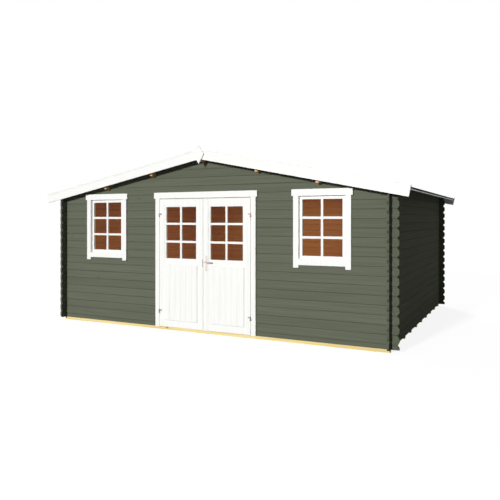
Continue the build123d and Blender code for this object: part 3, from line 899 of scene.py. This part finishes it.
@dataclass
class Roof:
    """Roof boards, felt with its laps and nails, purlins, eave strips and barge boards."""

    board_width: float = 96 * MM
    board_bevel: float = 3 * MM
    lap_edges: tuple[float, ...] = (920 * MM, 1840 * MM)  # up the slope from the eave
    lap_width: float = 90 * MM
    lap_thickness: float = 3.5 * MM
    lap_feather: float = 0.1  # share of the thickness that is left at a lap's upper edge
    lap_inset: float = 22 * MM  # from the roof's ends
    cap_width: float = 160 * MM
    cap_bevel: float = 1 * MM
    nail_sides: int = 10
    nail_radius: float = 6 * MM
    nail_height: float = 1.4 * MM
    nail_taper: float = 0.7  # the head's top, as a share of its seat
    nail_rise: float = 0.6  # where a lap's nails sit, as a share of its thickness
    nail_spacing: float = 114 * MM
    nail_inset: float = 25 * MM
    overshoot: float = 30 * MM  # past the ridge, where a slope's pieces are cut upright
    ridge: float = field(init=False)
    length: tuple[float, float] = field(init=False)
    board_thickness: float = field(init=False)
    felt_top: float = field(init=False)
    run: float = field(init=False)

    def __post_init__(self) -> None:
        """Read the ridge, the roof's length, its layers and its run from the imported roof."""
        low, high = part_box("ridge_purlin")
        self.ridge = high.z
        self.length = (low.y, high.y)
        boards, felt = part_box("roof_boards_right")[1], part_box("roof_felt_right")[1]
        self.board_thickness = (boards.z - self.ridge) * math.cos(ROOF_SLOPE)
        self.felt_top = (felt.z - self.ridge) * math.cos(ROOF_SLOPE)
        self.run = felt.x / math.cos(ROOF_SLOPE)

    def lay(self, piece: Piece, side: Side) -> Piece:
        """Tip a piece from level, at the ridge, onto a slope.

        Args:
            piece: modelled along +X, with z = 0 at the boards' underside.
            side: the slope.

        Returns:
            The same piece, cut upright at the ridge.
        """
        turn(piece, ROOF_SLOPE, "Y")
        cut = {"plane_co": (0, 0, 0), "plane_no": (1, 0, 0), "use_fill": True, "clear_inner": True}
        edit_all(piece, bpy.ops.mesh.bisect, **cut)
        edit_all(piece, bpy.ops.transform.translate, value=(0, 0, self.ridge))
        if side is Side.LEFT:
            mirror_x(piece)
        return piece

    def boards(self, side: Side) -> None:
        """Lay the tongued boards of one slope, with a V joint between them underneath.

        Args:
            side: the slope.
        """
        packed = f"roof_boards_{side.word}"
        low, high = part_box(packed)
        count = round((high.y - low.y) / self.board_width)
        width = (high.y - low.y) / count
        run = max(-low.x, high.x) - self.board_thickness * math.sin(ROOF_SLOPE)
        far = (run / math.cos(ROOF_SLOPE), low.y + width, self.board_thickness)
        board = block(f"roof_planks_{side.word}", (-self.overshoot, low.y, 0), far)
        bevel(
            board,
            lambda a, b: max(a.z, b.z) < NEAR and abs(a.y - b.y) < NEAR,
            self.board_bevel,
        )
        repeat(board, count, (0, width, 0))
        put(self.lay(board, side), "cabin", ROOF_WOOD, [packed])

    def laps(self, side: Side) -> list[float]:
        """Lay the felt's laps and its ridge cap.

        Args:
            side: the slope.

        Returns:
            How far from the ridge the rows of nails run that hold them.
        """
        front, back = self.length[0] + self.lap_inset, self.length[1] - self.lap_inset
        low, high = self.felt_top, self.felt_top + self.lap_thickness
        pieces, rows = [], []
        for edge in self.lap_edges:
            foot = self.run - edge
            head = foot - self.lap_width
            lap = block("lap", (head, front, low), (foot, back, high))
            feather = {"value": (1, 1, self.lap_feather), "center_override": (head, 0, low)}
            edit(
                lap,
                lambda normal, _: normal.x < -SQUARE,
                Chosen.FACES,
                bpy.ops.transform.resize,
                **feather,
            )
            pieces.append(lap)
            rows.append(foot - self.nail_inset)
        cap = block("cap", (-self.overshoot, front, low), (self.cap_width, back, high))
        bevel(
            cap,
            lambda a, b: min(a.x, b.x) > self.cap_width - NEAR and min(a.z, b.z) > low + NEAR,
            self.cap_bevel,
        )
        pieces.append(cap)
        rows.append(self.cap_width - self.nail_inset)
        piece = self.lay(joined(f"felt_laps_{side.word}", pieces), side)
        put(piece, "cabin", FELT)
        return rows

    def nails(self, side: Side, lap_rows: list[float]) -> None:
        """Drive the clout nails through the laps and along the eave.

        Args:
            side: the slope.
            lap_rows: how far from the ridge the rows run that go through laps.
        """
        start, end = self.length[0] + self.nail_inset, self.length[1] - self.nail_inset
        first = start + 2 * self.nail_inset
        count = int((end - start) / self.nail_spacing)
        taper = (self.nail_taper, self.nail_taper, 1)
        rows = []
        for place in (*lap_rows, self.run - self.nail_inset):
            rise = self.nail_rise * self.lap_thickness if place in lap_rows else 0
            seat = self.felt_top + rise
            ends = ((place, first, seat), (place, first, seat + self.nail_height))
            nail = disc("nail", self.nail_sides, self.nail_radius, *ends)
            edit(
                nail,
                lambda normal, _: normal.z > SQUARE,
                Chosen.FACES,
                bpy.ops.transform.resize,
                value=taper,
                center_override=(place, first, 0),
            )
            rows.append(repeat(nail, count, (0, self.nail_spacing, 0)))
        piece = self.lay(joined(f"felt_nails_{side.word}", rows), side)
        put(piece, "cabin", NAIL_METAL)

    def build(self) -> None:
        """Build both slopes and dress what carries and edges them."""
        for side in Side:
            self.boards(side)
            self.nails(side, self.laps(side))
            dress(f"roof_felt_{side.word}", FELT)
            dress(f"eave_strip_{side.word}", EAVE_PAINT)
        for node in ("ridge_purlin", "side_purlins"):
            dress(node, PURLIN_WOOD)
        for end in ("front", "back"):
            for part in ("barge_boards", "cover_laths", "ridge_plate"):
                dress(f"{part}_{end}", WHITE_ALONG_X)


@dataclass
class Joinery:
    """Windows, door frame and door leaves with their glass."""

    window_parts: tuple[str, ...] = ("window_trim", "window_frame", "window_sash")
    leaf_parts: tuple[str, ...] = ("door_frame", "door_panel")

    def build(self) -> None:
        """Paint the joinery and glaze it."""
        for side in Side:
            for part in self.window_parts:
                dress(f"{part}_{side.word}", WHITE)
            for part in self.leaf_parts:
                dress(f"{side.word}_{part}", WHITE)
            dress(f"window_glass_{side.word}", GLASS)
            dress(f"{side.word}_door_glass", GLASS)
            dress(f"{side.word}_door_hinges", HINGE_METAL)
        dress("hinge_pins", HINGE_METAL)
        dress("door_frame", WHITE)
        dress("door_trim", WHITE)
        dress("threshold", THRESHOLD_WOOD)
        dress("lock_plates", HANDLE_METAL)
        dress("lever_handle", LEVER_METAL)


@dataclass
class Fittings:
    """Screws of the hinges and the lock, the lock's cylinder and the striking plate."""

    sides: int = 16
    screw_height: float = 1.2 * MM
    screw_radius: float = 4 * MM
    screw_rim: float = 0.4  # share of the height that its rounded rim takes
    foot_screw_radius: float = 2.8 * MM
    slot_length: float = 0.7  # half an arm of the cross slot, as a share of the radius
    slot_width: float = 0.16  # and half across it
    plate_screw_inset: float = 10 * MM
    plate_half_width: float = 15 * MM
    strap_thickness: float = 3 * MM
    strap_screws: tuple[float, float] = (9 * MM, 22 * MM)  # from the strap's free end
    strap_level: float = 14 * MM  # strap's middle from the outer end of its knuckle
    foot_inset: float = 4 * MM
    foot_drop: float = 29 * MM  # foot's middle below the strap's
    foot_spread: float = 6 * MM
    cylinder_drop: float = 60 * MM  # below the lever's axis
    cylinder_radius: float = 8.5 * MM
    cylinder_proud: float = 2 * MM
    cylinder_bevel: float = 0.5 * MM
    tail_radius: float = 5 * MM
    tail_drop: float = 19 * MM
    keyway: tuple[float, float] = (1.2 * MM, 5 * MM)  # half its width and half its height
    keyway_depth: float = 0.8  # as a share of how far the cylinder stands proud
    keyway_shade_share: float = 0.3  # share of that depth that the dark block, a painted shade, fills
    striker: tuple[float, float, float] = (1.5 * MM, 20 * MM, 110 * MM)  # thick, wide and high
    latch_hole: tuple[float, float] = (24 * MM, 10 * MM)  # its place and half its height
    bolt_hole: tuple[float, float] = (-18 * MM, 17 * MM)
    striker_hole_width: float = 12 * MM
    striker_leg: float = 8 * MM  # over the leaf's face
    striker_corner: float = 2 * MM
    corner_segments: int = 3
    edge: float = 0.1 * MM  # how near an edge of a fitting has to lie to a plane to be in it

    def on_face(self, face: float) -> Callable[[Vector, Vector], bool]:
        """Return a choice of the edges that lie in the upright plane y = face."""
        return lambda a, b: max(abs(a.y - face), abs(b.y - face)) < self.edge

    def screw(self, radius: float, seat: Iterable[float], facing: Facing) -> Piece:
        """Add a screw's head with a rounded rim and a cross slot.

        Args:
            radius: the head's radius.
            seat: the middle of the head's seat, on an upright face.
            facing: to where the head looks.

        Returns:
            The head.
        """
        seat = Vector(seat)
        face = seat.y + facing.value * self.screw_height
        middle = (seat.x, face, seat.z)
        head = disc("screw", self.sides, radius, seat, middle)
        bevel(head, self.on_face(face), self.screw_height * self.screw_rim)
        top = Vector(middle)
        long, short = radius * self.slot_length, radius * self.slot_width
        for across, upright in ((long, short), (short, long)):
            reach = Vector((across, self.screw_height / 2, upright))
            combine(head, block("slot", top - reach, top + reach), Change.CUT)
        return head

    def lock_screws(self) -> None:
        """Screw down the lock's plates on both faces of the right leaf."""
        low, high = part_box("lock_plates")
        middle = high.x - self.plate_half_width
        heads = []
        for level in (low.z + self.plate_screw_inset, high.z - self.plate_screw_inset):
            heads.append(self.screw(self.screw_radius, (middle, low.y, level), Facing.FRONT))
            heads.append(self.screw(self.screw_radius, (middle, high.y, level), Facing.BACK))
        put(joined("lock_screws", heads), "right_door", HANDLE_METAL)

    def hinge_screws(self) -> None:
        """Screw the straps to the leaves and the feet to the door's side trims."""
        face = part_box("left_door_frame")[0].y - self.strap_thickness
        pins_low, pins_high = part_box("hinge_pins")
        feet = []
        for side, pin in ((Side.LEFT, pins_low), (Side.RIGHT, pins_high)):
            low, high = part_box(f"{side.word}_door_hinges")
            free_end = high.x if side is Side.LEFT else low.x
            foot_end = pin.x - side.value * self.foot_inset
            straps = []
            for level in (low.z + self.strap_level, high.z - self.strap_level):
                for inset in self.strap_screws:
                    seat = (free_end + side.value * inset, face, level)
                    straps.append(self.screw(self.screw_radius, seat, Facing.FRONT))
                for rise in (-self.foot_spread, self.foot_spread):
                    seat = (foot_end, face, level - self.foot_drop + rise)
                    feet.append(self.screw(self.foot_screw_radius, seat, Facing.FRONT))
            piece = joined(f"{side.word}_hinge_screws", straps)
            put(piece, f"{side.word}_door", HINGE_METAL)
        put(joined("hinge_foot_screws", feet), "cabin", HINGE_METAL)

    def cylinder(self, face: float, facing: Facing) -> tuple[Piece, Piece]:
        """Add one face of the lock's cylinder, and a dark block in its keyway, painted shade of the
        slot.

        Args:
            face: the lock plate's outer face.
            facing: to where that face looks.

        Returns:
            The cylinder and the dark block in the keyway, painted shade.
        """
        lever_low, lever_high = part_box("lever_handle")
        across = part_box("lock_plates")[1].x - self.plate_half_width
        level = (lever_low.z + lever_high.z) / 2 - self.cylinder_drop
        front = face + facing.value * self.cylinder_proud
        foot = level - self.tail_drop
        sides, tail = 2 * self.sides, self.tail_radius
        ends = ((across, face, level), (across, front, level))
        barrel = disc("lock_cylinder", sides, self.cylinder_radius, *ends)
        web_low = (across - tail, min(face, front), foot)
        web_high = (across + tail, max(face, front), level)
        combine(barrel, block("web", web_low, web_high), Change.ADD)
        ends = ((across, face, foot), (across, front, foot))
        combine(barrel, disc("toe", sides, tail, *ends), Change.ADD)
        bevel(barrel, self.on_face(front), self.cylinder_bevel)
        half_width, half_height = self.keyway
        depth = self.cylinder_proud * self.keyway_depth
        middle = Vector((across, front, level))
        reach = Vector((half_width, depth, half_height))
        combine(barrel, block("cut", middle - reach, middle + reach), Change.CUT)
        # A dark block at the keyway's bottom paints the shade of the deep slot
        inner = front - facing.value * depth
        outer = front - facing.value * depth * (1 - self.keyway_shade_share)
        key_low = (across - half_width, min(inner, outer), level - half_height)
        key_high = (across + half_width, max(inner, outer), level + half_height)
        return barrel, block("keyway", key_low, key_high)

    def lock(self) -> None:
        """Fit the lock's cylinder in both plates."""
        low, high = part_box("lock_plates")
        faces = (self.cylinder(low.y, Facing.FRONT), self.cylinder(high.y, Facing.BACK))
        barrels, keyway_shades = map(list, zip(*faces))
        put(joined("lock_cylinder", barrels), "right_door", HANDLE_METAL)
        put(joined("lock_keyway_shades", keyway_shades), "right_door", KEYWAY_SHADE)

    def striking_plate(self) -> None:
        """Add the angle plate on the left leaf's edge and face that takes latch and bolt."""
        leaf_low, leaf_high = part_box("left_door_frame")
        plates_low, plates_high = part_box("lock_plates")
        thick, wide, high = self.striker
        middle = Vector((0, (leaf_low.y + leaf_high.y) / 2, (plates_low.z + plates_high.z) / 2))
        front, back = leaf_low.y - thick, middle.y + wide / 2
        foot, head = middle.z - high / 2, middle.z + high / 2
        inner, outer = leaf_high.x + thick, leaf_high.x - self.striker_leg
        plate = block("striking_plate", (leaf_high.x, front, foot), (inner, back, head))
        leg = block("leg", (outer, front, foot), (inner, leaf_low.y, head))
        combine(plate, leg, Change.ADD)
        bevel(
            plate,
            lambda a, b: min(a.y, b.y) > back - self.edge and abs(a.x - b.x) > thick / 2,
            self.striker_corner,
            self.corner_segments,
        )
        for place, half_height in (self.latch_hole, self.bolt_hole):
            reach = Vector((2 * thick, self.striker_hole_width / 2, half_height))
            hole = Vector((leaf_high.x, middle.y, middle.z + place))
            combine(plate, block("hole", hole - reach, hole + reach), Change.CUT)
        put(plate, "left_door", HINGE_METAL)

    def build(self) -> None:
        """Fit everything."""
        self.lock_screws()
        self.hinge_screws()
        self.lock()
        self.striking_plate()


@dataclass
class Studio:
    """White surroundings, a low sun almost square to the front, and the photograph's camera."""

    eye: tuple[float, float, float] = (4009 * MM, -8370 * MM, 1571 * MM)
    heading: float = 25.657  # degrees to the left of straight ahead
    lens: float = 39.43  # millimetres
    sensor: float = 36.0  # millimetres wide
    shift: tuple[float, float] = (-0.029, -0.0616)
    sun_strength: float = 2.88
    sun_from: tuple[float, float] = (-10.0, 16.0)  # degrees right of the front, and upwards
    sun_softness: float = 6.0  # its apparent size in degrees
    fill_strength: float = 1.3
    fill_from: tuple[float, float] = (-142.0, 32.0)
    fill_softness: float = 20.0
    sky: float = 0.18
    room_lamp_power: float = 24.5
    room_lamp_size: tuple[float, float] = (2.8, 2.6)
    room_lamp_drop: float = 230 * MM  # below the ridge purlin, so that it stays under the slopes
    room_lamp_tint: tuple[float, float, float] = (1.0, 0.94, 0.86)
    floor_size: float = 80.0
    floor_shade: float = 0.28  # share of the light that the floor scatters
    floor_glow: float = 0.88  # what is added where it is seen, so that it looks white

    @staticmethod
    def place(name: str, data: bpy.types.ID) -> bpy.types.Object:
        """Add a camera or a lamp to the scene.

        Args:
            name: the object's name.
            data: the camera or the lamp.

        Returns:
            The new object.
        """
        made = bpy.data.objects.new(name, data)
        bpy.context.collection.objects.link(made)
        return made

    def camera(self) -> None:
        """Place the camera."""
        data = bpy.data.cameras.new("camera")
        data.lens = self.lens
        data.sensor_width = self.sensor
        data.shift_x, data.shift_y = self.shift
        view = self.place("camera", data)
        view.location = self.eye
        view.rotation_euler = (math.pi / 2, 0, math.radians(self.heading))
        bpy.context.scene.camera = view

    def sun(self, name: str, strength: float, source: tuple[float, float], softness: float) -> None:
        """Add a distant lamp.

        Args:
            name: the lamp's name.
            strength: its irradiance.
            source: degrees to the right of the front, and above the horizon, that it shines from.
            softness: its apparent size in degrees.
        """
        data = bpy.data.lights.new(name, "SUN")
        data.energy = strength
        data.angle = math.radians(softness)
        across, up = (math.radians(angle) for angle in source)
        level = Vector((math.sin(across), -math.cos(across), 0)) * math.cos(up)
        towards = level + Vector((0, 0, math.sin(up)))
        self.place(name, data).rotation_euler = (-towards).to_track_quat("-Z", "Y").to_euler()

    def room_lamp(self) -> None:
        """Add a soft lamp under the ridge that lights the bare room."""
        data = bpy.data.lights.new("room_lamp", "AREA")
        data.shape = "RECTANGLE"
        data.size, data.size_y = self.room_lamp_size
        data.energy = self.room_lamp_power
        data.color = self.room_lamp_tint
        lamp = self.place("room_lamp", data)
        lamp.location = (0, 0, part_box("ridge_purlin")[0].z - self.room_lamp_drop)
        lamp.visible_camera = False

    @staticmethod
    def seen_straight(tree: Tree) -> Node:
        """Tell what is seen from what is lit.

        Args:
            tree: the node tree of the world or of the floor.

        Returns:
            1 for what the camera, gloss and glass see, and 0 for scattered light.
        """
        rays = add_node(tree, "LightPath").outputs
        direct = {0: rays["Is Camera Ray"], 1: rays["Is Transmission Ray"]}
        seen = add_node(tree, "Math", direct, operation="MAXIMUM")
        return add_node(
            tree, "Math", {0: seen, 1: rays["Is Glossy Ray"]}, operation="MAXIMUM"
        )

    def surroundings(self) -> None:
        """Make what the camera, gloss and glass see white, and light the rest with a dim sky."""
        world = bpy.data.worlds.new("studio")
        bpy.context.scene.world = world
        world.use_nodes = True
        tree = world.node_tree
        tree.nodes.clear()
        levels = {"Value": self.seen_straight(tree), "To Min": self.sky, "To Max": 1.0}
        light = {"Color": (1, 1, 1, 1), "Strength": add_node(tree, "MapRange", levels)}
        back = add_node(tree, "Background", light)
        add_node(tree, "OutputWorld", {"Surface": back})

    def floor(self) -> None:
        """Add a plain white floor that keeps a faint shadow."""
        bpy.ops.object.select_all(action="DESELECT")
        bpy.ops.mesh.primitive_plane_add(size=self.floor_size, location=(0, 0, 0))
        ground = settle(bpy.context.object, "studio_floor")
        made = bpy.data.materials.new("studio_floor")
        made.use_nodes = True
        tree = made.node_tree
        tree.nodes.clear()
        grey = {"Color": (self.floor_shade, self.floor_shade, self.floor_shade, 1)}
        shaded = add_node(tree, "BsdfDiffuse", grey)
        levels = {0: self.seen_straight(tree), 1: self.floor_glow}
        glow = add_node(tree, "Math", levels, operation="MULTIPLY")
        shine = add_node(tree, "Emission", {"Color": (1, 1, 1, 1), "Strength": glow})
        both = add_node(tree, "AddShader", {0: shaded, 1: shine})
        add_node(tree, "OutputMaterial", {"Surface": both})
        ground.data.materials.append(made)

    def build(self) -> None:
        """Build the studio."""
        bpy.context.scene.view_settings.view_transform = "Standard"
        self.camera()
        self.surroundings()
        self.floor()
        self.sun("low_sun", self.sun_strength, self.sun_from, self.sun_softness)
        self.sun("back_fill", self.fill_strength, self.fill_from, self.fill_softness)
        self.room_lamp()


def main() -> None:
    """Build and dress the cabin and its studio."""
    logging.basicConfig(level=logging.INFO, format="%(message)s")
    for assembly in (Studio(), Walls(), Base(), Roof(), Joinery(), Fittings()):
        assembly.build()


if __name__ == "__main__":
    main()
